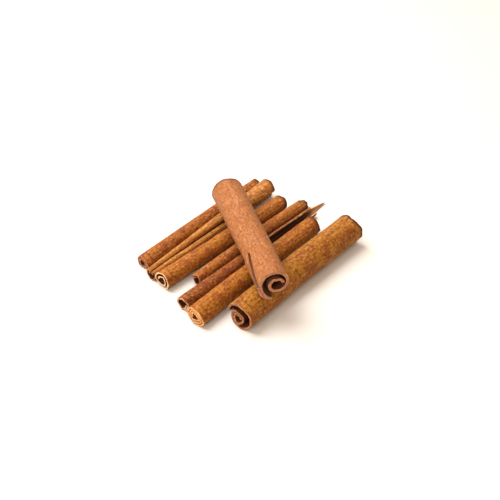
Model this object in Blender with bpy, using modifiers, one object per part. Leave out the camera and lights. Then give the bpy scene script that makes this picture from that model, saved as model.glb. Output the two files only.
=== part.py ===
"""A stack of cinnamon sticks: seven quills of rolled bark side by side, and one lying across them.

Sizes are in millimetres until MM turns them into metres. +Z is up, and the origin is on the table
under the middle of the stack. A quill's section is seen from its near end: 0 degrees is to the
right, 90 is up, and angles grow anticlockwise.
"""

import math
import random
from dataclasses import dataclass

import bmesh
import bpy

MM = 0.001

# Driving sizes of the stack
FOOT_DEPTH = 0.25        # how deep the round bark is flattened where it lies on the table
SEGMENTS_PER_TURN = 16   # facets in one full turn of bark
SHARP_ANGLE = 50.0       # edges of the bark that turn by more than this many degrees are sharp
ROWS = (0.0, 0.04, 0.14, 0.3, 0.46, 0.54, 0.7, 0.88, 1.0)   # stations along a quill

# How rolled bark winds
TUCK_START = 0.7         # part of each turn after which the sheet tucks in under its own edge
LOOSEN_START = 0.55      # turns from the free edge where a loose quill starts to tighten
LOOSEN_END = 1.05        # turns from the free edge where its inner roll is reached

# Unevenness of the bark
WAVES = ((1, 0.7), (2, 1.3), (3, 2.1))   # waves round the quill, and waves along it
WAVE_HEIGHT = 0.010      # height of each wave, as a part of the quill's radius
END_FADE = 0.12          # part of the length over which an uneven end fades out
TEETH = (2, 5, 9)        # teeth round a ragged end, as three waves added together


@dataclass
class Quill:
    """One rolled stick. Every size is in millimetres and every angle in degrees."""

    name: str
    near: tuple          # centre of the near end on the table plan
    heading: float       # direction of the quill on the plan, from +Y towards +X
    length: float
    near_radius: float
    far_radius: float
    bark: float          # thickness of the sheet
    turns: float = 2.0
    seam: float = -90.0  # where the outer free edge lies
    winds: int = -1      # 1 anticlockwise or -1 clockwise, from the free edge inwards
    step: float = 1.45   # fall of the radius in one turn
    loose: float = 0.0   # half the width of the open crescent round the inner roll
    lean: float = 0.0    # side that the inner roll leans against
    twist: float = 0.0   # turn of the section from the near end to the far end
    bow: float = 0.0     # sideways bend at mid-length
    oval: float = 0.0    # how much wider than round the section is along its oval axis
    oval_axis: float = 0.0
    near_ragged: float = 0.4
    far_ragged: float = 0.6
    seed: int = 1
    colour: tuple = (0.45, 0.17, 0.05)


@dataclass
class ScrollQuill(Quill):
    """A quill whose two edges both curl in and meet along a groove."""

    groove: float = 85.0       # where the groove lies at the near end
    shoulder: float = 48.0     # angle from the groove to where each edge starts to curl
    curl_share: float = 0.4    # radius of the curls, as a part of the quill's radius
    curl_sweep: float = 235.0  # how far each edge curls


@dataclass
class SplitQuill(Quill):
    """A quill whose far half has lost its upper side, and ends in a splinter."""

    torn_from: float = 0.42    # part of the length where the tear starts
    torn_to: float = 0.52
    torn_seam: float = 111.0   # where the torn edge lies
    splinter: float = 14.0      # how far the splinter stands out of the far end
    splinter_at: float = 216.0
    splinter_width: float = 42.0   # half its width, round the quill


@dataclass
class TopQuill(Quill):
    """The quill that lies across the others."""

    near_height: float = 20.2  # height of its axis at the near end
    far_height: float = 15.1


LYING_QUILLS = (
    Quill("quill_1", near=(-49.88, -10.84), heading=40.3, length=82.0, near_radius=3.6,
          far_radius=3.25, bark=0.85, turns=1.85, seam=175, step=1.15, twist=12, bow=-0.5,
          oval=0.06, oval_axis=142, seed=11, colour=(0.32, 0.11, 0.035)),
    ScrollQuill("quill_2", near=(-45.23, -18.69), heading=39.9, length=84.5, near_radius=3.0,
                far_radius=4.8, bark=0.75, twist=-80, seed=12, colour=(0.45, 0.18, 0.05)),
    Quill("quill_3", near=(-40.03, -24.19), heading=43.0, length=80.8, near_radius=4.35,
          far_radius=3.95, bark=0.7, turns=1.7, seam=-75, winds=1, step=1.5, loose=0.25,
          lean=270, twist=-8, bow=0.4, seed=13, colour=(0.50, 0.22, 0.06)),
    Quill("quill_4", near=(-24.83, -22.19), heading=42.3, length=75.4, near_radius=2.9,
          far_radius=3.25, bark=0.75, turns=1.3, seam=180, step=1.1, twist=10,
          far_ragged=1.6, seed=14, colour=(0.40, 0.13, 0.035)),
    SplitQuill("quill_5", near=(-30.43, -38.39), heading=42.4, length=90.0, near_radius=3.65,
               far_radius=3.2, bark=0.85, turns=1.22, seam=-60, winds=1, step=1.15,
               near_ragged=0.7, far_ragged=1.0, seed=15, colour=(0.33, 0.10, 0.03)),
    Quill("quill_6", near=(-24.03, -47.69), heading=40.1, length=83.9, near_radius=4.8,
          far_radius=4.35, bark=1.0, turns=2.2, seam=-85, winds=1, step=1.32, twist=6,
          oval=0.04, oval_axis=142, seed=16, colour=(0.48, 0.19, 0.045)),
    Quill("quill_7", near=(-5.03, -49.59), heading=40.9, length=79.8, near_radius=6.8,
          far_radius=7.1, bark=1.05, turns=2.6, seam=190, step=1.38, loose=1.7, lean=218,
          twist=10, bow=-0.5, near_ragged=0.6, far_ragged=1.3, seed=17,
          colour=(0.42, 0.16, 0.04)),
)
CROSSING_QUILL = TopQuill("quill_top", near=(9.62, -44.29), heading=-16.2, length=75.7,
                          near_radius=6.75, far_radius=7.75, bark=1.35, turns=1.62, seam=205,
                          step=1.7, loose=1.2, lean=290, seed=18, colour=(0.55, 0.24, 0.09))


def direction(angle):
    """Unit vector in the section at an angle in degrees."""
    turn = math.radians(angle)
    return math.cos(turn), math.sin(turn)


def smooth_share(value, start, end):
    """Ease from 0 at start to 1 at end."""
    share = min(max((value - start) / (end - start), 0.0), 1.0)
    return share * share * (3.0 - 2.0 * share)


def mix(first, second, share):
    """Value between two others."""
    return first + (second - first) * share


def turned_point(across, up, angle):
    """Turn a point of the section about the quill's axis."""
    turn_x, turn_z = direction(angle)
    return across * turn_x - up * turn_z, across * turn_z + up * turn_x


class Unevenness:
    """Low waves over a quill's bark and ragged steps along its ends, the same on each run."""

    def __init__(self, quill):
        draw = random.Random(quill.seed)
        self.waves = [(around, along, draw.uniform(0, math.tau)) for around, along in WAVES]
        self.teeth = [(count, draw.uniform(0, math.tau)) for count in TEETH]

    def swell(self, angle, along):
        """Factor on the radius at an angle round the quill and a part of its length."""
        total = 0.0
        for around, waves_along, phase in self.waves:
            total += math.sin(around * math.radians(angle) + waves_along * math.tau * along + phase)
        return 1.0 + WAVE_HEIGHT * total

    def tooth(self, angle, end):
        """Height of an end's edge at an angle round the quill, from -1 to 1."""
        total = 0.0
        for count, phase in self.teeth:
            total += math.sin(count * math.radians(angle) + phase + end)
        return total / len(self.teeth)


def winding_fall(turned):
    """Winding steps fallen after a number of turns: the sheet is round, and tucks in late."""
    whole = math.floor(turned)
    return whole + smooth_share(turned - whole, TUCK_START, 1.0)


def spiral_section(quill, around, along, radius):
    """Point of a spiral quill's outer face in its section, and the angle it lies at."""
    seam = quill.seam
    end_turns = quill.turns
    if isinstance(quill, SplitQuill):
        torn = smooth_share(along, quill.torn_from, quill.torn_to)
        seam = mix(quill.seam, quill.torn_seam, torn)
        end_turns = quill.turns - (seam - quill.seam) / 360.0
    turned = end_turns * around
    angle = seam + quill.winds * 360.0 * turned
    from_edge = quill.turns - end_turns + turned
    loosened = quill.loose * smooth_share(from_edge, LOOSEN_START, LOOSEN_END)
    reach = radius - quill.step * winding_fall(from_edge) - loosened
    lean_x, lean_z = direction(quill.lean)
    out_x, out_z = direction(angle)
    return loosened * lean_x + reach * out_x, loosened * lean_z + reach * out_z, angle


def scroll_section(quill, around, along, radius):
    """Point of a double scroll's outer face in its section, and the angle it lies at."""
    side = -1.0 if around < 0.5 else 1.0
    from_back = abs(around - 0.5) * 2.0
    back_sweep = 180.0 - quill.shoulder
    swept = from_back * (back_sweep + quill.curl_sweep)
    curl = quill.curl_share * radius
    if swept < back_sweep:
        out_x, out_z = direction(-90.0 + swept)
        across, up = radius * out_x, radius * out_z
    else:
        centre_x, centre_z = direction(-90.0 + back_sweep)
        out_x, out_z = direction(-90.0 + swept)
        across = (radius - curl) * centre_x + curl * out_x
        up = (radius - curl) * centre_z + curl * out_z
    across, up = turned_point(across * side, up, quill.groove - 90.0)
    return across, up, math.degrees(math.atan2(up, across))


def section_point(quill, unevenness, around, along):
    """Point of the outer face in the section with the quill's twist, and its angle."""
    radius = mix(quill.near_radius, quill.far_radius, along)
    section = scroll_section if isinstance(quill, ScrollQuill) else spiral_section
    across, up, angle = section(quill, around, along, radius)
    swell = unevenness.swell(angle, along)
    across, up = turned_point(across * swell, up * swell, quill.twist * along - quill.oval_axis)
    across, up = across * (1.0 + quill.oval), up * (1.0 - quill.oval)
    return *turned_point(across, up, quill.oval_axis), angle


def end_shift(quill, unevenness, angle, along):
    """How far an uneven end moves a point along the quill."""
    near_share = 1.0 - smooth_share(along, 0.0, END_FADE)
    far_share = smooth_share(along, 1.0 - END_FADE, 1.0)
    shift = quill.near_ragged * unevenness.tooth(angle, 0.0) * near_share
    shift += quill.far_ragged * unevenness.tooth(angle, 1.0) * far_share
    if isinstance(quill, SplitQuill):
        beside = abs(angle - quill.splinter_at) / quill.splinter_width
        shift += quill.splinter * max(0.0, 1.0 - beside) * far_share
    return shift


def facets_round(quill):
    """Number of facets round a quill's whole sheet."""
    if isinstance(quill, ScrollQuill):
        sweep = 2.0 * (180.0 - quill.shoulder + quill.curl_sweep)
        return 2 * round(SEGMENTS_PER_TURN * sweep / 720.0)
    return round(SEGMENTS_PER_TURN * quill.turns)


def shape_row(quill, unevenness, vertices, along):
    """Place one row of the sheet's vertices and rest it on the table or at its height."""
    ahead_x, ahead_y = math.sin(math.radians(quill.heading)), math.cos(math.radians(quill.heading))
    points = [(vertex, around, section_point(quill, unevenness, around, along))
              for vertex, around in vertices]
    if isinstance(quill, TopQuill):
        lift = mix(quill.near_height, quill.far_height, along)
        floor = -math.inf
    else:
        lift = -FOOT_DEPTH - min(point[1] for _, _, point in points)
        floor = 0.0
    sideways = quill.bow * 4.0 * along * (1.0 - along)
    for vertex, _, (across, up, angle) in points:
        ahead = quill.length * along + end_shift(quill, unevenness, angle, along)
        across += sideways
        vertex.co.x = (quill.near[0] + ahead * ahead_x + across * ahead_y) * MM
        vertex.co.y = (quill.near[1] + ahead * ahead_y - across * ahead_x) * MM
        vertex.co.z = max(up + lift, floor) * MM


def roll_sheet(quill):
    """Roll a flat sheet of bark into the outer face of a quill."""
    sheet = bmesh.new()
    facets = facets_round(quill)
    bmesh.ops.create_grid(sheet, x_segments=facets, y_segments=len(ROWS) - 1, size=0.5)
    unevenness = Unevenness(quill)
    rows = {}
    for vertex in sheet.verts:
        row = round((vertex.co.y + 0.5) * (len(ROWS) - 1))
        rows.setdefault(row, []).append((vertex, vertex.co.x + 0.5))
    for row, vertices in rows.items():
        shape_row(quill, unevenness, vertices, ROWS[row])
    if quill.winds > 0 or isinstance(quill, ScrollQuill):
        bmesh.ops.reverse_faces(sheet, faces=sheet.faces)
    return sheet


def bark_material(quill):
    """Dry cinnamon bark in the quill's own colour."""
    material = bpy.data.materials.new(quill.name + "_bark")
    material.use_nodes = True
    shader = material.node_tree.nodes["Principled BSDF"]
    shader.inputs["Base Color"].default_value = (*quill.colour, 1.0)
    shader.inputs["Roughness"].default_value = 0.75
    shader.inputs["Metallic"].default_value = 0.0
    return material


def make_quill(quill, collection):
    """Make one closed quill: a rolled sheet with the thickness of its bark."""
    sheet = roll_sheet(quill)
    mesh = bpy.data.meshes.new(quill.name)
    sheet.to_mesh(mesh)
    sheet.free()
    mesh.materials.append(bark_material(quill))
    mesh.shade_smooth()
    mesh.set_sharp_from_angle(angle=math.radians(SHARP_ANGLE))
    piece = bpy.data.objects.new(quill.name, mesh)
    collection.objects.link(piece)
    thickness = piece.modifiers.new("bark thickness", "SOLIDIFY")
    thickness.thickness = quill.bark * MM
    thickness.offset = -1.0
    return piece


def clear_scene():
    """Remove whatever the scene holds."""
    for piece in list(bpy.data.objects):
        bpy.data.objects.remove(piece, do_unlink=True)


def main():
    """Build the whole stack."""
    clear_scene()
    collection = bpy.data.collections.new("cinnamon_sticks")
    bpy.context.scene.collection.children.link(collection)
    for quill in (*LYING_QUILLS, CROSSING_QUILL):
        make_quill(quill, collection)


main()
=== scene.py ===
"""The looks of a stack of cinnamon sticks: rolled bark with its grain, its broken ends and its cut faces.

Sizes are in millimetres until MM turns them into metres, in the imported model's frame: +Z is up, and
the stack is seen along +Y. A quill's section is seen from its near end: 0 degrees is to the right, 90
is up, and angles grow anticlockwise. A sheet of bark starts as a flat slab, with x round the quill, y
along it and z from the outer face down into the bark, and is then rolled up.
"""

import logging
import math
import random
from dataclasses import dataclass, field
from enum import IntEnum
from typing import Mapping

import bmesh
import bpy
from mathutils import Matrix, Vector, noise


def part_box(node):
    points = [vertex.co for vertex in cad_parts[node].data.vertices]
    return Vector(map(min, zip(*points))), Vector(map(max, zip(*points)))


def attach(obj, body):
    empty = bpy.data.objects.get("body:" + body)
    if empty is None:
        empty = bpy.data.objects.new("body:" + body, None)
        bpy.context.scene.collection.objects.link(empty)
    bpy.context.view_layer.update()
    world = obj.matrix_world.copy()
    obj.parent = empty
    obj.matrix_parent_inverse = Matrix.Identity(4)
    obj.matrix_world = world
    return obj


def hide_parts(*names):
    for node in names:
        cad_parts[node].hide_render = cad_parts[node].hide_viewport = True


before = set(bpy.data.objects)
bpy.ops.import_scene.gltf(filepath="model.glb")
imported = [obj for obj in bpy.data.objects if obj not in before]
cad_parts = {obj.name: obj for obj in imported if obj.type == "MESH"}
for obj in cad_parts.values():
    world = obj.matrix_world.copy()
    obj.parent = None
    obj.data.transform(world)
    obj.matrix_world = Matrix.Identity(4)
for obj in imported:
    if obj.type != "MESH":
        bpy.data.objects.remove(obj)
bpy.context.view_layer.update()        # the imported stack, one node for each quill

MM = 0.001
BODY = "root"

Triple = tuple[float, float, float]
Colour = Triple
Pair = tuple[float, float]

log = logging.getLogger("cinnamon_sticks")

# Angles in a quill's section
UP = 90.0
DOWN = -90.0

# Attributes of a quill's mesh
SHEET_PLACE = "sheet_place"  # each point's place in the flat sheet
PAINTED_SHADE = "painted_shade"              # 1 where painted shade darkens the outer face most

# Colour sockets of a Mix node, by number because its other sockets have the same names
MIX_SHARE = 0
MIX_FIRST = 6
MIX_SECOND = 7
MIX_RESULT = 2

# Grain of the finishes, in millimetres round the quill, along it and into the bark
PATCH_GRAIN = (4.0, 9.0, 9.0)
MOTTLE_GRAIN = (0.85, 1.45, 2.0)
FIBRE_GRAIN = (0.28, 5.0, 1.0)
PIT_GRAIN = (0.5, 0.8, 1.0)
VEIN_GRAIN = (3.4, 46.0, 9.0)
STAIN_GRAIN = (4.0, 11.0, 5.0)
INNER_FIBRE_GRAIN = (0.35, 7.0, 1.0)
LAYER_GRAIN = (2.6, 2.6, 0.22)
CRUMB_GRAIN = (0.5, 0.5, 0.4)

# Gloss and painted light
DRY_GLOSS = 0.20       # dry bark reflects less than polished wood
LIT_LENGTH = 4.0    # how far the painted light on inner bark takes to grow towards a far end
LIT_NEVER = 1000.0  # further along than any quill reaches
STAIN_SHIFT = 1.5      # how much sooner stained bark takes the painted light
TIP_DIRT = 2.0         # how far the pale bark takes to darken again at its tip

# Lumps of the modelled relief, in millimetres round the quill and along it
DENT_SIZE = (4.5, 11.0)
RIDGE_SIZE = (0.95, 13.0)
GRIT_SIZE = (0.8, 1.3)
RIDGE_FIELD = 31.0   # keeps the ridges' noise apart from the dents'
GRIT_FIELD = 57.0    # keeps the grit's noise apart from both
INNER_FIELD = 100.0  # keeps the inner face's noise apart from the outer face's
INNER_RELIEF = 0.6   # relief of the inner face, against that of the outer face

# The flat sheet's mesh
COLUMN_WIDTH = 0.40  # width of its cells round the quill
ROW_LENGTH = 0.52    # length of its cells along the quill
RIM_CUTS = 2         # cuts through the thickness of its rims
WIDTH_STEPS = 200    # steps in which its width is measured
SHARP_ANGLE = 42.0   # edges that turn by more than this many degrees stay sharp

# How rolled bark winds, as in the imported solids
TUCK_START = 0.7     # part of each turn after which the sheet tucks in under its own edge
LOOSEN_START = 0.55  # turns from the free edge where a loose quill starts to tighten
LOOSEN_END = 1.05    # turns from the free edge where its inner roll is reached
FOOT_DEPTH = 0.25    # how deep the bark is flattened where it lies on the table
WAVES = ((1, 0.7), (2, 1.3), (3, 2.1))  # waves round the quill, and waves along it
WAVE_HEIGHT = 0.010  # height of each wave, as a part of the quill's radius
END_FADE = 0.12      # part of the length over which an uneven end fades out
TEETH = (2, 5, 9)    # teeth round a ragged end, as three waves added together

# Finer unevenness of broken bark
CHIP_DEPTH = 0.25   # depth of the deepest chips out of an end
CHIP_WIDTH = 1.6    # width of a chip, and of the sound bark beside it
CHIP_START = 0.15   # height of the noise above which an end is chipped
END_FIELD = 7.0     # keeps the far end's noise apart from the near end's
FRAY = 0.03         # height of the fine fray of an end
FRAY_WIDTH = 0.6
FRAY_FIELD = 5.0    # keeps the fray's noise apart from the chips'
RIM_WEAR = 0.14     # how far a rim's two edges are worn back
RIM_GRIT = 0.06     # roughness of a broken face
RIM_LUMP = 0.7      # length of a lump along a rim
RIM_LAYERS = 2.6    # lumps through its thickness
EDGE_WANDER = 0.9   # how far a free edge wanders round the quill
EDGE_FRAY = 0.2     # fine part of the outer edge's wander, against the whole
OUTER_WANDER = 7.0  # length of the outer edge's wander along the quill
INNER_WANDER = 9.0  # length of the inner edge's wander along the quill
OUTER_FIELD = 3.0   # these three keep the noise of the edges apart
EDGE_FRAY_FIELD = 5.0
INNER_EDGE_FIELD = 8.0

# Painted shade on the outer face, inside the roll and at its far end
TUCKED_START = 0.92  # turns from the free edge where the painted shade starts to darken the bark
TUCKED_END = 1.12    # turns from the free edge where it has become dark
END_SHADE = 2.8       # how far the painted shade reaches from the far end
END_DARK = 0.2       # how far from the far end it is at its darkest
SHADE_WANDER = 0.8    # how far the painted shade's border wanders along the quill
SHADE_WIDTH = 2.0     # width of its wander round the quill
SHADE_FIELD = 2.0     # keeps its noise apart from the free edges'

# The crossing quill
FLARE_TURNS = 0.22           # turns from a flared free edge to where the bark lies flat again
CRACK_CLOSING = (-0.6, 0.4)  # where the crack starts to close and has closed, past its length

# The studio
ROOM_COLOUR = (1.0, 0.80, 0.62)
ROOM_LIGHT = 0.90
TABLE_COLOUR = (0.62, 0.60, 0.57)
TABLE_ROUGHNESS = 0.6


def srgb(red: int, green: int, blue: int) -> Colour:
    """Linear colour of a screen colour.

    Args:
        red: its red part, from 0 to 255.
        green: its green part.
        blue: its blue part.

    Returns:
        The three parts, from 0 to 1.
    """
    def linear(level: float) -> float:
        """One part of the linear colour."""
        return level / 12.92 if level <= 0.04045 else ((level + 0.055) / 1.055) ** 2.4

    return linear(red / 255), linear(green / 255), linear(blue / 255)


def direction(angle: float) -> Pair:
    """Unit vector in the section at an angle in degrees."""
    turn = math.radians(angle)
    return math.cos(turn), math.sin(turn)


def smooth_share(value: float, start: float, end: float) -> float:
    """Ease from 0 at start to 1 at end."""
    share = min(max((value - start) / (end - start), 0.0), 1.0)
    return share * share * (3.0 - 2.0 * share)


def mix(first: float, second: float, share: float) -> float:
    """Value between two others."""
    return first + (second - first) * share


def turned_point(across: float, up: float, angle: float) -> Pair:
    """Turn a point of the section about the quill's axis."""
    turn_x, turn_z = direction(angle)
    return across * turn_x - up * turn_z, across * turn_z + up * turn_x


def rough(x: float, y: float, z: float) -> float:
    """Smooth random height, about -1 to 1, at a place in a fixed noise field."""
    return noise.noise(Vector((x, y, z)))


class Winding(IntEnum):
    """Way that the sheet winds, from its outer free edge inwards, seen from the near end."""

    CLOCKWISE = -1
    ANTICLOCKWISE = 1


class Face(IntEnum):
    """Material slots of a quill's mesh."""

    OUTER = 0
    INNER = 1
    BROKEN = 2


class Value:
    """An output of a material's node tree. Arithmetic on it adds Math nodes."""

    def __init__(self, graph: "Graph", socket: bpy.types.NodeSocket) -> None:
        """Wrap an output of a graph."""
        self.graph = graph
        self.socket = socket

    def _math(self, operation: str, first: object, second: object = 0.0) -> "Value":
        """Result of one Math node from its two values or links."""
        return self.graph.node("ShaderNodeMath", {"operation": operation}, {0: first, 1: second})

    def __add__(self, other: object) -> "Value":
        """Sum with a number or another value."""
        return self._math("ADD", self, other)

    def __sub__(self, other: object) -> "Value":
        """Difference from a number or another value."""
        return self._math("SUBTRACT", self, other)

    def __rsub__(self, other: object) -> "Value":
        """A number less this value."""
        return self._math("SUBTRACT", other, self)

    def __mul__(self, other: object) -> "Value":
        """Product with a number or another value."""
        return self._math("MULTIPLY", self, other)

    __radd__ = __add__
    __rmul__ = __mul__

    def __abs__(self) -> "Value":
        """Size of the value without its sign."""
        return self._math("ABSOLUTE", self)

    def ramp(self, start: float, end: float) -> "Value":
        """Ease the value from 0 at start to 1 at end.

        Args:
            start: where the result is still 0.
            end: where the result has become 1, above or below start.

        Returns:
            The eased value, from 0 to 1.
        """
        if start > end:
            return 1.0 - self.ramp(end, start)
        settings = {"interpolation_type": "SMOOTHSTEP"}
        inputs = {"Value": self, "From Min": start, "From Max": end}
        return self.graph.node("ShaderNodeMapRange", settings, inputs)


class Graph:
    """The node tree of one material, with its Principled shader."""

    def __init__(self, name: str) -> None:
        """Make a material with its node tree.

        Args:
            name: the material's name.
        """
        self.material = bpy.data.materials.new(name)
        self.material.use_nodes = True
        self.tree = self.material.node_tree
        self.shader = self.tree.nodes["Principled BSDF"]

    def node(self, kind: str, settings: Mapping[str, object], inputs: Mapping[object, object],
             output: object = 0) -> Value:
        """Add a node of any kind.

        Args:
            kind: the node's type.
            settings: its properties, which are set first.
            inputs: numbers, colours or links, by the name or number of their sockets.
            output: name or number of the output that is wanted.

        Returns:
            That output.
        """
        made = self.tree.nodes.new(kind)
        for name, setting in settings.items():
            setattr(made, name, setting)
        for name, value in inputs.items():
            self.join(made.inputs[name], value)
        return Value(self, made.outputs[output])

    def join(self, socket: bpy.types.NodeSocket, value: object) -> None:
        """Link a value to a socket, or set the socket to a number or colour.

        Args:
            socket: an input of a node.
            value: the link, number or colour.
        """
        if isinstance(value, Value):
            self.tree.links.new(value.socket, socket)
        else:
            socket.default_value = value

    def blend(self, first: object, second: object, share: object) -> Value:
        """Mix two colours.

        Args:
            first: colour or link where share is 0.
            second: colour or link where share is 1.
            share: number or link.

        Returns:
            The mixed colour.
        """
        colours = [(*c, 1.0) if isinstance(c, tuple) else c for c in (first, second)]
        inputs = {MIX_SHARE: share, MIX_FIRST: colours[0], MIX_SECOND: colours[1]}
        return self.node("ShaderNodeMix", {"data_type": "RGBA"}, inputs, MIX_RESULT)

    def sheet_place(self, size: Triple) -> Value:
        """Place in the flat sheet of bark, counted in grains of a size.

        Args:
            size: length of a grain in millimetres round the quill, along it and into the bark.

        Returns:
            The place as a vector.
        """
        place = self.node("ShaderNodeAttribute", {"attribute_name": SHEET_PLACE}, {}, "Vector")
        scale = tuple(1.0 / length for length in size)
        return self.node("ShaderNodeVectorMath", {"operation": "MULTIPLY"}, {0: place, 1: scale})

    def grain(self, size: Triple, detail: float = 2.0, distortion: float = 0.0) -> Value:
        """Noise that follows the rolled sheet.

        Args:
            size: length of a grain in millimetres round the quill, along it and into the bark.
            detail: number of finer layers.
            distortion: how far the grain swirls.

        Returns:
            The noise, about 0.5 on average.
        """
        inputs = {"Vector": self.sheet_place(size), "Scale": 1.0, "Detail": detail,
                  "Roughness": 0.6, "Distortion": distortion}
        return self.node("ShaderNodeTexNoise", {}, inputs, "Fac")

    def finish(self, colour: object, roughness: object, height: Value, depth: float) -> bpy.types.Material:
        """Send a colour, a roughness and a relief to the shader.

        Args:
            colour: colour or link.
            roughness: number or link.
            height: relief from 0 to 1.
            depth: height of the relief in millimetres.

        Returns:
            The finished material.
        """
        self.join(self.shader.inputs["Base Color"], colour)
        self.join(self.shader.inputs["Roughness"], roughness)
        self.shader.inputs["Specular IOR Level"].default_value = DRY_GLOSS
        bump = self.node("ShaderNodeBump", {}, {"Strength": 1.0, "Distance": depth * MM, "Height": height})
        self.join(self.shader.inputs["Normal"], bump)
        return self.material


@dataclass(frozen=True)
class BarkFinish:
    """Outer face of dry bark: patchy, with fibres and pale veins along the quill and dark pits."""

    name: str
    body: Colour
    patch: Colour
    pale: Colour
    dark: Colour
    veins: float = 0.35   # strength of the pale veins
    pits: float = 0.70    # strength of the dark pits
    shade_strength: float = 0.9     # strength of the painted shade inside the roll and at its far end
    roughness: float = 0.68
    relief: float = 0.10  # height of the fine grain in millimetres

    def material(self) -> bpy.types.Material:
        """Make the outer bark's material.

        Returns:
            The material.
        """
        graph = Graph(self.name)
        patches = graph.grain(PATCH_GRAIN, 3.0, 0.6).ramp(0.42, 0.60)
        mottle = graph.grain(MOTTLE_GRAIN, 3.0)
        fibres = graph.grain(FIBRE_GRAIN, 2.0)
        pits = graph.grain(PIT_GRAIN, 1.0).ramp(0.60, 0.74)
        wander = abs(graph.grain(VEIN_GRAIN, 1.0) * 6.0 - 3.0)
        vein = abs(wander - 1.0).ramp(0.16, 0.03)     # a vein lies where the wander is close to 1
        colour = graph.blend(self.body, self.patch, patches)
        colour = graph.blend(colour, self.pale, mottle.ramp(0.51, 0.78) * 0.90)
        colour = graph.blend(colour, self.dark, mottle.ramp(0.48, 0.28) * 0.85)
        colour = graph.blend(colour, self.dark, fibres.ramp(0.48, 0.30) * 0.60)
        colour = graph.blend(colour, self.pale, fibres.ramp(0.55, 0.72) * 0.50)
        colour = graph.blend(colour, self.pale, vein * self.veins)
        colour = graph.blend(colour, self.dark, pits * self.pits)
        painted_shade = graph.node("ShaderNodeAttribute", {"attribute_name": PAINTED_SHADE}, {}, "Fac")
        # painted shade: the outer bark is darkened inside the roll and at its far end
        colour = graph.blend(colour, self.dark, painted_shade * self.shade_strength)
        height = mottle * 0.45 + fibres * 0.40 + vein * 0.15 - pits * 0.35
        return graph.finish(colour, fibres * 0.25 + (self.roughness - 0.12), height, self.relief)


@dataclass(frozen=True)
class InnerFinish:
    """Inner face of the bark: darker and smoother, with fine fibres."""

    name: str
    body: Colour
    dark: Colour
    lit_colour: Colour  # painted light: its colour at a far end that lies in the light
    lit_start: float = LIT_NEVER  # place along the quill from which painted light lightens it
    roughness: float = 0.6
    relief: float = 0.05

    def material(self) -> bpy.types.Material:
        """Make the inner bark's material.

        Returns:
            The material.
        """
        graph = Graph(self.name)
        stains = graph.grain(STAIN_GRAIN, 3.0).ramp(0.38, 0.66)
        fibres = graph.grain(INNER_FIBRE_GRAIN, 2.0)
        colour = graph.blend(self.body, self.dark, stains * 0.7)
        along = graph.node("ShaderNodeSeparateXYZ", {}, {0: graph.sheet_place((1.0, 1.0, 1.0))}, "Y")
        tip_start = self.lit_start + LIT_LENGTH
        # painted light: inner bark lightened towards a far end that lies in the light
        painted_light = (along + stains * STAIN_SHIFT).ramp(self.lit_start, tip_start)
        colour = graph.blend(colour, self.lit_colour, painted_light * 0.75)
        colour = graph.blend(colour, self.dark, fibres.ramp(0.50, 0.30) * 0.6)
        colour = graph.blend(colour, self.dark, along.ramp(tip_start, tip_start + TIP_DIRT) * 0.6)
        return graph.finish(colour, self.roughness, fibres, self.relief)


@dataclass(frozen=True)
class BrokenFinish:
    """Broken or cut bark at the ends and free edges, with its layers showing."""

    name: str
    body: Colour
    pale: Colour
    dark: Colour
    roughness: float = 0.8
    relief: float = 0.12

    def material(self) -> bpy.types.Material:
        """Make the broken bark's material.

        Returns:
            The material.
        """
        graph = Graph(self.name)
        layers = graph.grain(LAYER_GRAIN, 2.0, 0.4)
        crumbs = graph.grain(CRUMB_GRAIN, 2.0)
        colour = graph.blend(self.body, self.pale, layers.ramp(0.48, 0.70))
        colour = graph.blend(colour, self.dark, layers.ramp(0.46, 0.28) * 0.8)
        colour = graph.blend(colour, self.dark, crumbs.ramp(0.56, 0.74) * 0.7)
        height = layers * 0.5 + crumbs * 0.5
        return graph.finish(colour, self.roughness, height, self.relief)


@dataclass(frozen=True)
class BarkLook:
    """The three finishes that one quill wears, in the order of its material slots."""

    outer: BarkFinish
    inner: InnerFinish
    broken: BrokenFinish

    def dress(self, mesh: bpy.types.Mesh) -> None:
        """Give a quill's mesh its finishes."""
        for finish in (self.outer, self.inner, self.broken):
            mesh.materials.append(finish.material())


@dataclass(frozen=True)
class Relief:
    """Heights of the bark's modelled unevenness, in millimetres."""

    dent: float = 0.09    # broad dents
    ridge: float = 0.055  # low ridges along the fibres
    grit: float = 0.035   # fine lumps

    def height(self, around: float, along: float, layer: float) -> float:
        """Height of the bark above its smooth form.

        Args:
            around: place round the sheet.
            along: place along the sheet.
            layer: number that tells one face's unevenness from another's.

        Returns:
            The height in millimetres, about 0 on average.
        """
        dents = rough(around / DENT_SIZE[0], along / DENT_SIZE[1], layer)
        ridges = rough(around / RIDGE_SIZE[0], along / RIDGE_SIZE[1], layer + RIDGE_FIELD)
        grit = rough(around / GRIT_SIZE[0], along / GRIT_SIZE[1], layer + GRIT_FIELD)
        return self.dent * dents + self.ridge * ridges + self.grit * grit


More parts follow.
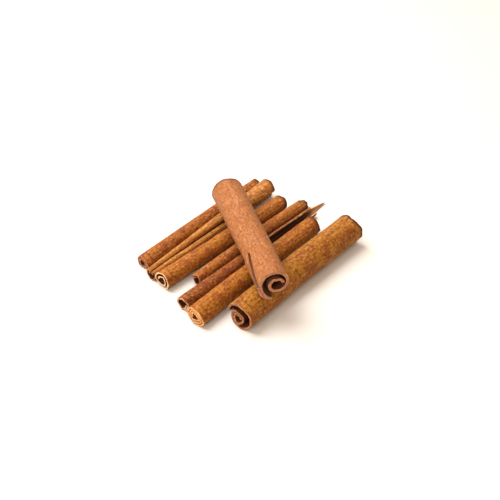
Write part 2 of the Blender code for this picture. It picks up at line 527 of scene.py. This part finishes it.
@dataclass
class Quill:
    """One rolled stick."""

    name: str
    look: BarkLook
    heading: float          # direction on the plan, from +Y towards +X
    length: float
    near_radius: float
    far_radius: float
    bark: float             # thickness of the sheet
    turns: float
    seam: float             # where the outer free edge lies
    step: float             # fall of the radius in one turn
    winding: Winding = Winding.CLOCKWISE
    loose: float = 0.0      # half the width of the open crescent round the inner roll
    lean: float = 0.0       # side that the inner roll leans against
    twist: float = 0.0      # turn of the section from the near end to the far end
    bow: float = 0.0        # sideways bend at mid-length
    oval: float = 0.0       # how much wider than round the section is along its oval axis
    oval_axis: float = 0.0
    near_ragged: float = 0.4
    far_ragged: float = 0.6
    far_chips: float = 1.0  # size of the chips at the far end, against those at the near end
    relief: Relief = Relief()
    seed: int = 1
    waves: list[tuple[int, float, float]] = field(init=False)
    teeth: list[tuple[int, float]] = field(init=False)
    sheet_width: float = field(init=False)

    def __post_init__(self) -> None:
        """Draw the phases of the bark's waves and of the ends' teeth."""
        draw = random.Random(self.seed)
        self.waves = [(around, along, draw.uniform(0, math.tau)) for around, along in WAVES]
        self.teeth = [(count, draw.uniform(0, math.tau)) for count in TEETH]
        self.sheet_width = self.measure_width()

    def measure_width(self) -> float:
        """Measure the width of the sheet of bark, round the section at the near end.

        Returns:
            The width in millimetres.
        """
        steps = range(WIDTH_STEPS + 1)
        points = [self.section(step / WIDTH_STEPS, 0.0, self.near_radius) for step in steps]
        return sum(math.dist(a[:2], b[:2]) for a, b in zip(points, points[1:]))

    def section(self, around: float, along: float, radius: float) -> Triple:
        """Point of the outer face in the section, to the right and up, and the angle it lies at."""
        return self.spiral(around, self.seam, self.turns, radius)

    def spiral(self, around: float, seam: float, end_turns: float, radius: float) -> Triple:
        """Point on a spiral that is round, and tucks in late in each turn.

        Args:
            around: part of the sheet's width, from its outer free edge.
            seam: angle of the outer free edge here.
            end_turns: turns that the sheet makes from there.
            radius: outer radius.

        Returns:
            The point to the right and up, and the angle it lies at.
        """
        turned = end_turns * around
        angle = seam + self.winding * 360.0 * turned
        from_edge = self.turns - end_turns + turned
        whole = math.floor(from_edge)
        fallen = whole + smooth_share(from_edge - whole, TUCK_START, 1.0)
        loosened = self.loose * smooth_share(from_edge, LOOSEN_START, LOOSEN_END)
        reach = radius - self.step * fallen - loosened
        lean_x, lean_z = direction(self.lean)
        out_x, out_z = direction(angle)
        return loosened * lean_x + reach * out_x, loosened * lean_z + reach * out_z, angle

    def swell(self, angle: float, along: float) -> float:
        """Factor that the bark's waves put on the radius.

        Args:
            angle: angle round the quill.
            along: part of the quill's length.

        Returns:
            The factor, about 1.
        """
        total = 0.0
        for around, waves_along, phase in self.waves:
            total += math.sin(around * math.radians(angle) + waves_along * math.tau * along + phase)
        return 1.0 + WAVE_HEIGHT * total

    def tooth(self, angle: float, end: float) -> float:
        """Height of the teeth round an uneven end.

        Args:
            angle: angle round the quill.
            end: 0 for the near end and 1 for the far end.

        Returns:
            The height, from about -0.8 to 0.8.
        """
        total = 0.0
        for count, phase in self.teeth:
            total += math.sin(count * math.radians(angle) + phase + end) / count
        return total

    def outer_point(self, around: float, along: float) -> Triple:
        """Point of the outer face with the quill's swell, twist and oval, and its angle.

        Args:
            around: part of the sheet's width.
            along: part of the quill's length.

        Returns:
            The point to the right and up, and the angle it lies at.
        """
        radius = mix(self.near_radius, self.far_radius, along)
        across, up, angle = self.section(around, along, radius)
        swell = self.swell(angle, along)
        across, up = turned_point(across * swell, up * swell, self.twist * along - self.oval_axis)
        across, up = across * (1.0 + self.oval), up * (1.0 - self.oval)
        return *turned_point(across, up, self.oval_axis), angle

    def chip(self, around: float, end: float) -> float:
        """Depth of the small chips out of an end.

        Args:
            around: place round the sheet in millimetres.
            end: 0 for the near end and 1 for the far end.

        Returns:
            The depth in millimetres.
        """
        bite = rough(around / CHIP_WIDTH, end * END_FIELD, self.seed)
        fray = FRAY * rough(around / FRAY_WIDTH, end * END_FIELD, self.seed + FRAY_FIELD)
        return CHIP_DEPTH * mix(1.0, self.far_chips, end) * max(0.0, bite - CHIP_START) + fray

    def end_shift(self, angle: float, around: float, along: float) -> float:
        """How far the uneven ends move a point along the quill.

        Args:
            angle: angle of the point.
            around: place round the sheet in millimetres.
            along: part of the quill's length.

        Returns:
            The shift in millimetres, towards the far end.
        """
        near_share = 1.0 - smooth_share(along, 0.0, END_FADE)
        far_share = smooth_share(along, 1.0 - END_FADE, 1.0)
        shift = (self.near_ragged * self.tooth(angle, 0.0) + self.chip(around, 0.0)) * near_share
        return shift + (self.far_ragged * self.tooth(angle, 1.0) - self.chip(around, 1.0)) * far_share

    def edge_share(self, column: float, along: float) -> float:
        """Part of the sheet's width at a column, between its two wandering free edges.

        Args:
            column: the column's place, from 0 to 1.
            along: part of the quill's length.

        Returns:
            The part of the sheet's width.
        """
        place = along * self.length
        fray = EDGE_FRAY * rough(place, EDGE_FRAY_FIELD, self.seed)
        outer = EDGE_WANDER * (0.5 + 0.5 * rough(place / OUTER_WANDER, OUTER_FIELD, self.seed) + fray)
        inner = EDGE_WANDER * (0.5 + 0.5 * rough(place / INNER_WANDER, INNER_EDGE_FIELD, self.seed))
        return (outer + column * (self.sheet_width - outer - inner)) / self.sheet_width

    def lift(self, along: float, lowest: float) -> float:
        """How far a row is raised so that its lowest point lies in the table's flattening."""
        return -FOOT_DEPTH - lowest

    def floor(self, along: float) -> float:
        """Lowest height of the bark at a part of the quill's length."""
        return 0.0

    def outer_bump(self, column: int, around: float, along: float) -> float:
        """Height of the outer face above its smooth form, at a place in the sheet in millimetres."""
        return self.relief.height(around, along, self.seed)

    def sunk(self, column: int, depth: float, around: float, along: float) -> float:
        """How deep a point lies under the sheet's smooth outer face.

        Args:
            column: number of the sheet's column.
            depth: part of the bark's thickness, from its outer face.
            around: place round the sheet in millimetres.
            along: place along the sheet in millimetres.

        Returns:
            The depth in millimetres.
        """
        sunk = self.bark * depth
        if depth == 0.0:
            sunk -= self.outer_bump(column, around, along)
        elif depth == 1.0:
            sunk += INNER_RELIEF * self.relief.height(around, along, self.seed + INNER_FIELD)
        return sunk

    def wear(self, place: float, depth: float, number: int) -> float:
        """How far a broken rim is worn back, at a place along it and a part of its thickness."""
        grit = RIM_GRIT * rough(place / RIM_LUMP, depth * RIM_LAYERS, self.seed + number)
        return RIM_WEAR * (2.0 * depth - 1.0) ** 2 + grit

    def flat_sheet(self) -> bmesh.types.BMesh:
        """Make the flat slab of bark, from 0 to 1 each way, with its faces in their material slots.

        Returns:
            The slab. Its outer face is at z 0 and its inner face at z -1.
        """
        sheet = bmesh.new()
        bmesh.ops.create_grid(sheet, x_segments=self.columns(), y_segments=self.rows(), size=0.5,
                              matrix=Matrix.Translation((0.5, 0.5, 0.0)))
        grown = bmesh.ops.extrude_face_region(sheet, geom=sheet.faces[:], use_keep_orig=True)
        inner = [item for item in grown["geom"] if isinstance(item, bmesh.types.BMVert)]
        bmesh.ops.translate(sheet, verts=inner, vec=(0.0, 0.0, -1.0))
        bmesh.ops.recalc_face_normals(sheet, faces=sheet.faces)
        across_rim = [edge for edge in sheet.edges if abs(edge.verts[0].co.z - edge.verts[1].co.z) > 0.5]
        bmesh.ops.subdivide_edges(sheet, edges=across_rim, cuts=RIM_CUTS, use_grid_fill=True)
        for face in sheet.faces:
            if abs(face.normal.z) < 0.5:
                face.material_index = Face.BROKEN
            # faces in a crack take the darker inner finish, which also paints the shade in the crack
            elif face.normal.z < 0.0 or self.in_crack(face.calc_center_median()):
                face.material_index = Face.INNER
        return sheet

    def in_crack(self, place: Vector) -> bool:
        """Whether a place of the flat slab lies in a crack."""
        return False

    def columns(self) -> int:
        """Number of cells round the sheet."""
        return round(self.sheet_width / COLUMN_WIDTH)

    def rows(self) -> int:
        """Number of cells along the sheet."""
        return round(self.length / ROW_LENGTH)

    def roll_up(self, sheet: bmesh.types.BMesh) -> None:
        """Roll the flat slab up, row by row.

        Args:
            sheet: the slab, whose vertices are moved.
        """
        place = sheet.verts.layers.float_vector.new(SHEET_PLACE)
        painted_shade = sheet.verts.layers.float.new(PAINTED_SHADE)
        rows: dict[int, list[bmesh.types.BMVert]] = {}
        for vertex in sheet.verts:
            rows.setdefault(round(vertex.co.y * self.rows()), []).append(vertex)
        for row, vertices in rows.items():
            self.roll_row(row, vertices, place)
            for vertex in vertices:
                # painted shade of each point, inside the roll and at the far end
                vertex[painted_shade] = self.painted_shade(vertex[place][0] / self.sheet_width, row / self.rows())
        if self.winding == Winding.ANTICLOCKWISE:
            bmesh.ops.reverse_faces(sheet, faces=sheet.faces)

    def painted_shade(self, around: float, along: float) -> float:
        """How dark the painted shade makes the outer face, inside the roll and at its far end.

        Args:
            around: part of the sheet's width.
            along: part of the quill's length.

        Returns:
            The shade, from 0 to 1.
        """
        wander = rough(around * self.sheet_width / SHADE_WIDTH, SHADE_FIELD, self.seed)
        from_end = (1.0 - along) * self.length + SHADE_WANDER * wander
        return max(self.tucked(around), 1.0 - smooth_share(from_end, END_DARK, END_SHADE))

    def tucked(self, around: float) -> float:
        """Painted shade: ease from 0 on the outer turn to 1 on the turns inside it."""
        return smooth_share(self.turns * around, TUCKED_START, TUCKED_END)

    def roll_row(self, row: int, vertices: list[bmesh.types.BMVert], place: object) -> None:
        """Roll one row of the slab and lay it on the table.

        Args:
            row: number of the row, from the near end.
            vertices: the row's vertices, still flat.
            place: layer that keeps each vertex's place in the flat sheet.
        """
        along = row / self.rows()
        columns = self.columns()
        shares = [self.edge_share(column / columns, along) for column in range(columns + 1)]
        points = [self.outer_point(share, along) for share in shares]
        lift = self.lift(along, min(point[1] for point in points))
        sideways = self.bow * 4.0 * along * (1.0 - along)
        ahead_x, ahead_y = math.sin(math.radians(self.heading)), math.cos(math.radians(self.heading))
        for vertex in vertices:
            column = round(vertex.co.x * columns)
            depth = -vertex.co.z
            around_mm, along_mm = shares[column] * self.sheet_width, along * self.length
            vertex[place] = (around_mm, along_mm, depth * self.bark)
            before, after = points[max(column - 1, 0)], points[min(column + 1, columns)]
            inward = Vector((before[1] - after[1], after[0] - before[0])).normalized() * self.winding
            sunk = self.sunk(column, depth, around_mm, along_mm)
            across = points[column][0] + inward.x * sunk
            up = points[column][1] + inward.y * sunk
            ahead = along_mm + self.end_shift(points[column][2], around_mm, along)
            if row == 0:
                ahead += self.wear(around_mm, depth, row)
            elif row == self.rows():
                ahead -= self.wear(around_mm, depth, row)
            if column in (0, columns):
                worn = self.wear(along_mm, depth, column)
                into = 1.0 if column == 0 else -1.0
                across += inward.y * self.winding * worn * into
                up -= inward.x * self.winding * worn * into
            across += sideways
            vertex.co.x = ahead * ahead_x + across * ahead_y
            vertex.co.y = ahead * ahead_y - across * ahead_x
            vertex.co.z = max(up + lift, self.floor(along))

    def build(self) -> bpy.types.Object:
        """Build the quill where its node lies and dress it.

        Returns:
            The finished piece.
        """
        sheet = self.flat_sheet()
        self.roll_up(sheet)
        self.settle(sheet)
        mesh = bpy.data.meshes.new(self.name + "_bark")
        sheet.to_mesh(mesh)
        sheet.free()
        self.look.dress(mesh)
        mesh.shade_smooth()
        mesh.set_sharp_from_angle(angle=math.radians(SHARP_ANGLE))
        piece = bpy.data.objects.new(self.name + "_bark", mesh)
        bpy.context.scene.collection.objects.link(piece)
        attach(piece, BODY)
        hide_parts(self.name)
        log.info("%s: %d faces", piece.name, len(mesh.polygons))
        return piece

    def settle(self, sheet: bmesh.types.BMesh) -> None:
        """Turn the rolled sheet into metres and lay it on its node: centred on it and as low as it.

        Args:
            sheet: the rolled sheet in millimetres.
        """
        bmesh.ops.scale(sheet, vec=(MM, MM, MM), verts=sheet.verts)
        low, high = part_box(self.name)
        own_low = Vector([min(vertex.co[axis] for vertex in sheet.verts) for axis in range(3)])
        own_high = Vector([max(vertex.co[axis] for vertex in sheet.verts) for axis in range(3)])
        move = (low + high - own_low - own_high) / 2.0
        move.z = self.rest_move(low.z - own_low.z, high.z - own_high.z)
        bmesh.ops.translate(sheet, verts=sheet.verts, vec=move)

    def rest_move(self, to_low: float, to_high: float) -> float:
        """Of the moves to its node's lowest and highest point, the one that settles the quill."""
        return to_low


@dataclass
class ScrollQuill(Quill):
    """A quill whose two edges both curl in and meet along a groove."""

    groove: float = 85.0        # where the groove lies at the near end
    shoulder: float = 48.0      # angle from the groove to where each edge starts to curl
    curl_share: float = 0.4     # radius of the curls, as a part of the quill's radius
    curl_sweep: float = 235.0   # how far each edge curls
    hidden_start: float = 85.0  # sweep along a curl where painted shade starts to darken it
    hidden_end: float = 165.0   # sweep along a curl where the painted shade is full
    far_turn: float = -34.0     # how much further the groove has turned down past the crossing quill
    turn_start: float = 0.60    # part of the length where it starts to turn further
    turn_end: float = 0.82

    def section(self, around: float, along: float, radius: float) -> Triple:
        """Point of the outer face, on the back or on one of the two curls.

        Args:
            around: part of the sheet's width.
            along: part of the quill's length.
            radius: outer radius there.

        Returns:
            The point to the right and up, and the angle it lies at.
        """
        side = -1.0 if around < 0.5 else 1.0
        back_sweep = self.back_sweep()
        swept = self.swept(around)
        curl = self.curl_share * radius
        out_x, out_z = direction(DOWN + swept)
        if swept < back_sweep:
            across, up = radius * out_x, radius * out_z
        else:
            centre_x, centre_z = direction(DOWN + back_sweep)
            across = (radius - curl) * centre_x + curl * out_x
            up = (radius - curl) * centre_z + curl * out_z
        groove = self.groove + self.far_turn * smooth_share(along, self.turn_start, self.turn_end)
        across, up = turned_point(across * side, up, groove - UP)
        return across, up, math.degrees(math.atan2(up, across))

    def tucked(self, around: float) -> float:
        """Painted shade: ease to 1 where an edge has curled into the groove."""
        return smooth_share(self.swept(around) - self.back_sweep(), self.hidden_start, self.hidden_end)

    def back_sweep(self) -> float:
        """Angle from the middle of the round back to where an edge starts to curl."""
        return 180.0 - self.shoulder

    def swept(self, around: float) -> float:
        """Angle swept from the middle of the back to a part of the sheet's width."""
        return abs(around - 0.5) * 2.0 * (self.back_sweep() + self.curl_sweep)


@dataclass
class SplitQuill(Quill):
    """A quill whose far half has lost its upper side, and ends in a splinter."""

    torn_from: float = 0.42       # part of the length where the tear starts
    torn_to: float = 0.52
    torn_seam: float = 111.0      # where the torn edge lies
    jag: float = 5.0              # how far the torn edge is jagged round the quill
    jag_length: float = 2.2       # length of a jag along it
    jag_field: float = 1.0        # place of the jags' noise
    splinter: float = 12.5        # how far the splinter stands out of the far end
    splinter_at: float = 216.0
    splinter_width: float = 44.0  # half its width, round the quill

    def section(self, around: float, along: float, radius: float) -> Triple:
        """Point of the outer face, with the seam drawn back along the tear.

        Args:
            around: part of the sheet's width.
            along: part of the quill's length.
            radius: outer radius there.

        Returns:
            The point to the right and up, and the angle it lies at.
        """
        torn = smooth_share(along, self.torn_from, self.torn_to)
        jagged = self.jag * rough(along * self.length / self.jag_length, self.jag_field, self.seed)
        seam = mix(self.seam, self.torn_seam + jagged, torn)
        return self.spiral(around, seam, self.turns - (seam - self.seam) / 360.0, radius)

    def end_shift(self, angle: float, around: float, along: float) -> float:
        """How far the uneven ends and the splinter move a point along the quill.

        Args:
            angle: angle of the point.
            around: place round the sheet in millimetres.
            along: part of the quill's length.

        Returns:
            The shift in millimetres, towards the far end.
        """
        beside = abs(angle - self.splinter_at) / self.splinter_width
        splinter = self.splinter * max(0.0, 1.0 - beside) * smooth_share(along, 1.0 - END_FADE, 1.0)
        return super().end_shift(angle, around, along) + splinter


@dataclass
class TopQuill(Quill):
    """The quill that lies across the others, falling towards its far end, with a cracked sliver of bark."""

    fall: float = 5.1             # how much lower its axis is at the far end
    crack_length: float = 19.0    # how far the crack runs from the near end
    crack_near: float = 184.0     # angle of the crack at the near end
    crack_far: float = 141.0      # angle of the crack where it ends
    crack_depth: float = 1.1
    crack_tightness: float = 0.5  # how far the crack's sides are drawn together
    crack_fade: float = 14.0      # length past the crack over which the sheet lies evenly again
    crack_reach: float = 0.3      # part of the sheet's width beyond the crack that gives way to it
    sliver_lift: float = 0.85     # how far the strip beside the crack stands off
    edge_lift: float = 0.3        # part of that lift at the strip's free edge
    flare: float = 1.7            # how far the free edge is flared at the near end
    flare_length: float = 7.0
    rest_start: float = 3.0       # how far from the near end its underside starts to be flattened
    rest_depth: float = 0.5       # how deep its underside is flattened where it rests on others

    def lift(self, along: float, lowest: float) -> float:
        """Height of the axis before the quill is settled, falling towards the far end."""
        return self.near_radius * 2.0 - self.fall * along

    def floor(self, along: float) -> float:
        """Lowest height of the bark, which is flattened past the flare, where it rests on others.

        Args:
            along: part of the quill's length.

        Returns:
            The height in millimetres, before the quill is settled.
        """
        past_flare = smooth_share(along * self.length, self.rest_start, self.flare_length)
        underside = self.lift(along, 0.0) - mix(self.near_radius, self.far_radius, along)
        clear_of_flare = -2.0 * self.flare
        return underside + mix(clear_of_flare, self.rest_depth, past_flare)

    def crack_column(self) -> int:
        """Column of the sheet that the crack follows."""
        middle = (self.crack_near + self.crack_far) / 2.0
        return round((self.seam - middle) / 360.0 / self.turns * self.columns())

    def edge_share(self, column: float, along: float) -> float:
        """Part of the sheet's width at a column, with one column drawn over to the crack.

        Args:
            column: the column's place, from 0 to 1.
            along: part of the quill's length.

        Returns:
            The part of the sheet's width.
        """
        share = super().edge_share(column, along)
        at = self.crack_column() / self.columns()
        place = along * self.length
        angle = mix(self.crack_near, self.crack_far, min(place / self.crack_length, 1.0))
        wanted = (self.seam - angle) / 360.0 / self.turns
        pull = wanted - super().edge_share(at, along)
        fade = 1.0 - smooth_share(place, self.crack_length, self.crack_length + self.crack_fade)
        if column <= at:
            share += pull * fade * column / at
        else:
            share += pull * fade * max(0.0, 1.0 - (column - at) / self.crack_reach)
        if abs(round(column * self.columns()) - self.crack_column()) == 1:
            return mix(share, wanted, self.crack_tightness * fade)
        return share

    def outer_bump(self, column: int, around: float, along: float) -> float:
        """Height of the outer face above its smooth form, with the crack and the lifted sliver.

        Args:
            column: number of the sheet's column.
            around: place round the sheet in millimetres.
            along: place along the sheet in millimetres.

        Returns:
            The height in millimetres.
        """
        bump = super().outer_bump(column, around, along)
        closing, closed = (self.crack_length + past for past in CRACK_CLOSING)
        within = 1.0 - smooth_share(along, closing, closed)
        crack = self.crack_column()
        if column == crack:
            return bump - self.crack_depth * within
        if column < crack:
            return bump + self.sliver_lift * within * mix(self.edge_lift, 1.0, column / crack)
        return bump

    def in_crack(self, place: Vector) -> bool:
        """Whether a place of the flat slab lies in the crack."""
        beside = abs(place.x * self.columns() - self.crack_column()) < 1.0
        return beside and place.y * self.length < self.crack_length

    def section(self, around: float, along: float, radius: float) -> Triple:
        """Point of the outer face, with the free edge flared out at the near end.

        Args:
            around: part of the sheet's width.
            along: part of the quill's length.
            radius: outer radius there.

        Returns:
            The point to the right and up, and the angle it lies at.
        """
        across, up, angle = super().section(around, along, radius)
        flare = self.flare * (1.0 - smooth_share(along * self.length, 0.0, self.flare_length))
        flare *= 1.0 - smooth_share(around * self.turns, 0.0, FLARE_TURNS)
        out_x, out_z = direction(angle)
        return across + flare * out_x, up + flare * out_z, angle

    def rest_move(self, to_low: float, to_high: float) -> float:
        """The move that brings the quill's top to its node's top."""
        return to_high


@dataclass(frozen=True)
class Lamp:
    """A square soft light that faces the stack."""

    name: str
    place: Triple
    size: float   # length of its side
    power: float  # in watts


@dataclass
class Studio:
    """Pale table, soft light from the upper left and a camera at the photograph's angle."""

    key: Lamp = Lamp("key", (-320.0, 200.0, 590.0), 540.0, 8.9)
    fill: Lamp = Lamp("fill", (-330.0, -520.0, 330.0), 400.0, 2.4)
    aim: Triple = (-0.53, -5.09, 6.0)
    distance: float = 400.0   # from the camera to the aim
    elevation: float = 40.0
    lens: float = 62.3
    near_clip: float = 10.0
    table_size: float = 8000.0
    table_drop: float = 0.05  # the table lies just under the quills' flattened bark

    def build(self) -> None:
        """Build the table, the lights and the camera."""
        self.lay_table()
        self.hang_light(self.key)
        self.hang_light(self.fill)
        self.light_room()
        self.set_camera()

    def light_room(self) -> None:
        """Light the stack evenly from all sides with the room's warm light."""
        world = bpy.data.worlds.new("white_room")
        world.use_nodes = True
        background = world.node_tree.nodes["Background"]
        background.inputs["Color"].default_value = (*ROOM_COLOUR, 1.0)
        background.inputs["Strength"].default_value = ROOM_LIGHT
        bpy.context.scene.world = world
        bpy.context.scene.view_settings.view_transform = "Standard"

    def lay_table(self) -> None:
        """Lay the pale table top."""
        top = bmesh.new()
        bmesh.ops.create_grid(top, x_segments=1, y_segments=1, size=self.table_size * MM / 2.0,
                              matrix=Matrix.Translation((0.0, 0.0, -self.table_drop * MM)))
        mesh = bpy.data.meshes.new("table")
        top.to_mesh(mesh)
        top.free()
        graph = Graph("white_table")
        graph.shader.inputs["Base Color"].default_value = (*TABLE_COLOUR, 1.0)
        graph.shader.inputs["Roughness"].default_value = TABLE_ROUGHNESS
        mesh.materials.append(graph.material)
        table = bpy.data.objects.new("table", mesh)
        bpy.context.scene.collection.objects.link(table)

    def hang_light(self, lamp: Lamp) -> None:
        """Hang a lamp, turned towards the stack.

        Args:
            lamp: the lamp's name, place, size and power.
        """
        light = bpy.data.lights.new(lamp.name, "AREA")
        light.size = lamp.size * MM
        light.energy = lamp.power
        hung = bpy.data.objects.new(lamp.name, light)
        hung.location = Vector(lamp.place) * MM
        hung.rotation_euler = (Vector(self.aim) - Vector(lamp.place)).to_track_quat("-Z", "Y").to_euler()
        bpy.context.scene.collection.objects.link(hung)

    def set_camera(self) -> None:
        """Set the camera at the photograph's viewing angle."""
        view = bpy.data.cameras.new("camera")
        view.lens = self.lens
        view.clip_start = self.near_clip * MM
        camera = bpy.data.objects.new("camera", view)
        back, up = direction(self.elevation)
        camera.location = (Vector(self.aim) + Vector((0.0, -back, up)) * self.distance) * MM
        camera.rotation_euler = (math.radians(90.0 - self.elevation), 0.0, 0.0)
        bpy.context.scene.collection.objects.link(camera)
        bpy.context.scene.camera = camera


def look(name: str, body: Colour, patch: Colour, pale: Colour, dark: Colour, inner: Colour,
         cut: Colour, cut_pale: Colour, lit_start: float = LIT_NEVER) -> BarkLook:
    """The finishes of one kind of quill from its seven colours.

    Args:
        name: the kind's name.
        body: main colour of its outer bark.
        patch: colour of the outer bark's patches.
        pale: colour of its veins and pale flecks.
        dark: colour of its pits, dark fibres, dirt and painted shade.
        inner: colour of its inner bark.
        cut: colour of its broken ends, and of the painted light on its inner bark.
        cut_pale: colour of the broken ends' pale layers.
        lit_start: place along the quill from which painted light lightens its inner bark.

    Returns:
        The finishes.
    """
    return BarkLook(BarkFinish(name + "_outer", body, patch, pale, dark),
                    InnerFinish(name + "_inner", inner, dark, cut, lit_start),
                    BrokenFinish(name + "_broken", cut, cut_pale, dark))


def quills() -> list[Quill]:
    """List the eight quills with their finishes.

    Returns:
        The quills, from the back left of the stack to the one that lies across it.
    """
    ochre = look("ochre", body=srgb(146, 86, 14), patch=srgb(128, 64, 8), pale=srgb(190, 134, 72),
                 dark=srgb(70, 26, 2), inner=srgb(106, 58, 28), cut=srgb(188, 124, 70),
                 cut_pale=srgb(244, 196, 138))
    wheat = look("wheat", body=srgb(146, 86, 18), patch=srgb(130, 66, 10), pale=srgb(192, 136, 76),
                 dark=srgb(68, 26, 2), inner=srgb(98, 54, 32), cut=srgb(208, 156, 106),
                 cut_pale=srgb(250, 222, 180))
    tawny = look("tawny", body=srgb(142, 88, 12), patch=srgb(124, 66, 8), pale=srgb(186, 134, 72),
                 dark=srgb(66, 26, 2), inner=srgb(112, 56, 36), cut=srgb(140, 90, 60),
                 cut_pale=srgb(196, 142, 98))
    # honey's cut colours are darkened as painted shade on quill_2's shaded near end
    honey = look("honey", body=srgb(162, 106, 42), patch=srgb(144, 84, 28), pale=srgb(208, 152, 94),
                 dark=srgb(78, 34, 4), inner=srgb(82, 44, 22), cut=srgb(130, 78, 48),
                 cut_pale=srgb(210, 148, 106))
    # painted light lightens the inner bark at quill_5's far end and splinter
    russet = look("russet", body=srgb(122, 63, 14), patch=srgb(104, 46, 6), pale=srgb(184, 120, 66),
                  dark=srgb(48, 18, 2), inner=srgb(78, 42, 24), cut=srgb(168, 118, 74),
                  cut_pale=srgb(240, 190, 142), lit_start=84.0)
    amber = look("amber", body=srgb(142, 82, 26), patch=srgb(122, 60, 12), pale=srgb(192, 134, 76),
                 dark=srgb(62, 24, 4), inner=srgb(90, 48, 28), cut=srgb(140, 84, 56),
                 cut_pale=srgb(210, 150, 110))
    pale = look("pale", body=srgb(144, 88, 46), patch=srgb(140, 82, 36), pale=srgb(184, 130, 86),
                dark=srgb(94, 55, 38), inner=srgb(86, 46, 30), cut=srgb(150, 98, 66),
                cut_pale=srgb(200, 146, 102))
    return [
        Quill("quill_1", amber, heading=40.3, length=82.0, near_radius=3.6, far_radius=3.25, bark=0.85,
              turns=1.95, seam=235.0, step=1.15, twist=12.0, bow=-0.5, oval=0.06, oval_axis=142.0,
              seed=11),
        ScrollQuill("quill_2", honey, heading=39.9, length=84.5, near_radius=3.0, far_radius=4.8,
                    bark=0.75, turns=1.0, seam=0.0, step=0.0, winding=Winding.ANTICLOCKWISE,
                    twist=-80.0, seed=12),
        Quill("quill_3", wheat, heading=43.0, length=80.8, near_radius=4.35, far_radius=3.95, bark=0.7,
              turns=1.7, seam=-75.0, winding=Winding.ANTICLOCKWISE, step=1.5, loose=0.25, lean=270.0,
              twist=-8.0, bow=0.4, seed=13),
        Quill("quill_4", amber, heading=42.3, length=75.4, near_radius=2.95, far_radius=3.25, bark=0.75,
              turns=1.3, seam=180.0, step=1.1, twist=10.0, bow=-0.6, far_ragged=1.6, far_chips=5.0,
              seed=14),
        SplitQuill("quill_5", russet, heading=42.4, length=90.0, near_radius=3.65, far_radius=3.2,
                   bark=0.85, turns=1.22, seam=-60.0, winding=Winding.ANTICLOCKWISE, step=1.15,
                   near_ragged=0.7, far_ragged=1.0, seed=15),
        Quill("quill_6", ochre, heading=40.1, length=83.9, near_radius=4.8, far_radius=4.35, bark=0.98,
              turns=2.85, seam=-85.0, winding=Winding.ANTICLOCKWISE, step=1.2, twist=6.0, oval=0.04,
              oval_axis=142.0, seed=16),
        Quill("quill_7", tawny, heading=40.9, length=79.8, near_radius=6.8, far_radius=7.1, bark=1.05,
              turns=2.6, seam=190.0, step=1.38, loose=1.7, lean=218.0, twist=10.0, bow=-0.5,
              near_ragged=0.6, far_ragged=1.3, far_chips=11.0, seed=17),
        TopQuill("quill_top", pale, heading=-16.2, length=75.7, near_radius=6.75, far_radius=7.75,
                 bark=1.35, turns=1.72, seam=268.0, step=1.7, loose=1.3, lean=318.0, seed=18),
    ]


def main() -> None:
    """Build every quill and the studio round them."""
    logging.basicConfig(level=logging.INFO, format="%(name)s: %(message)s")
    for quill in quills():
        quill.build()
    Studio().build()


if __name__ == "__main__":
    main()
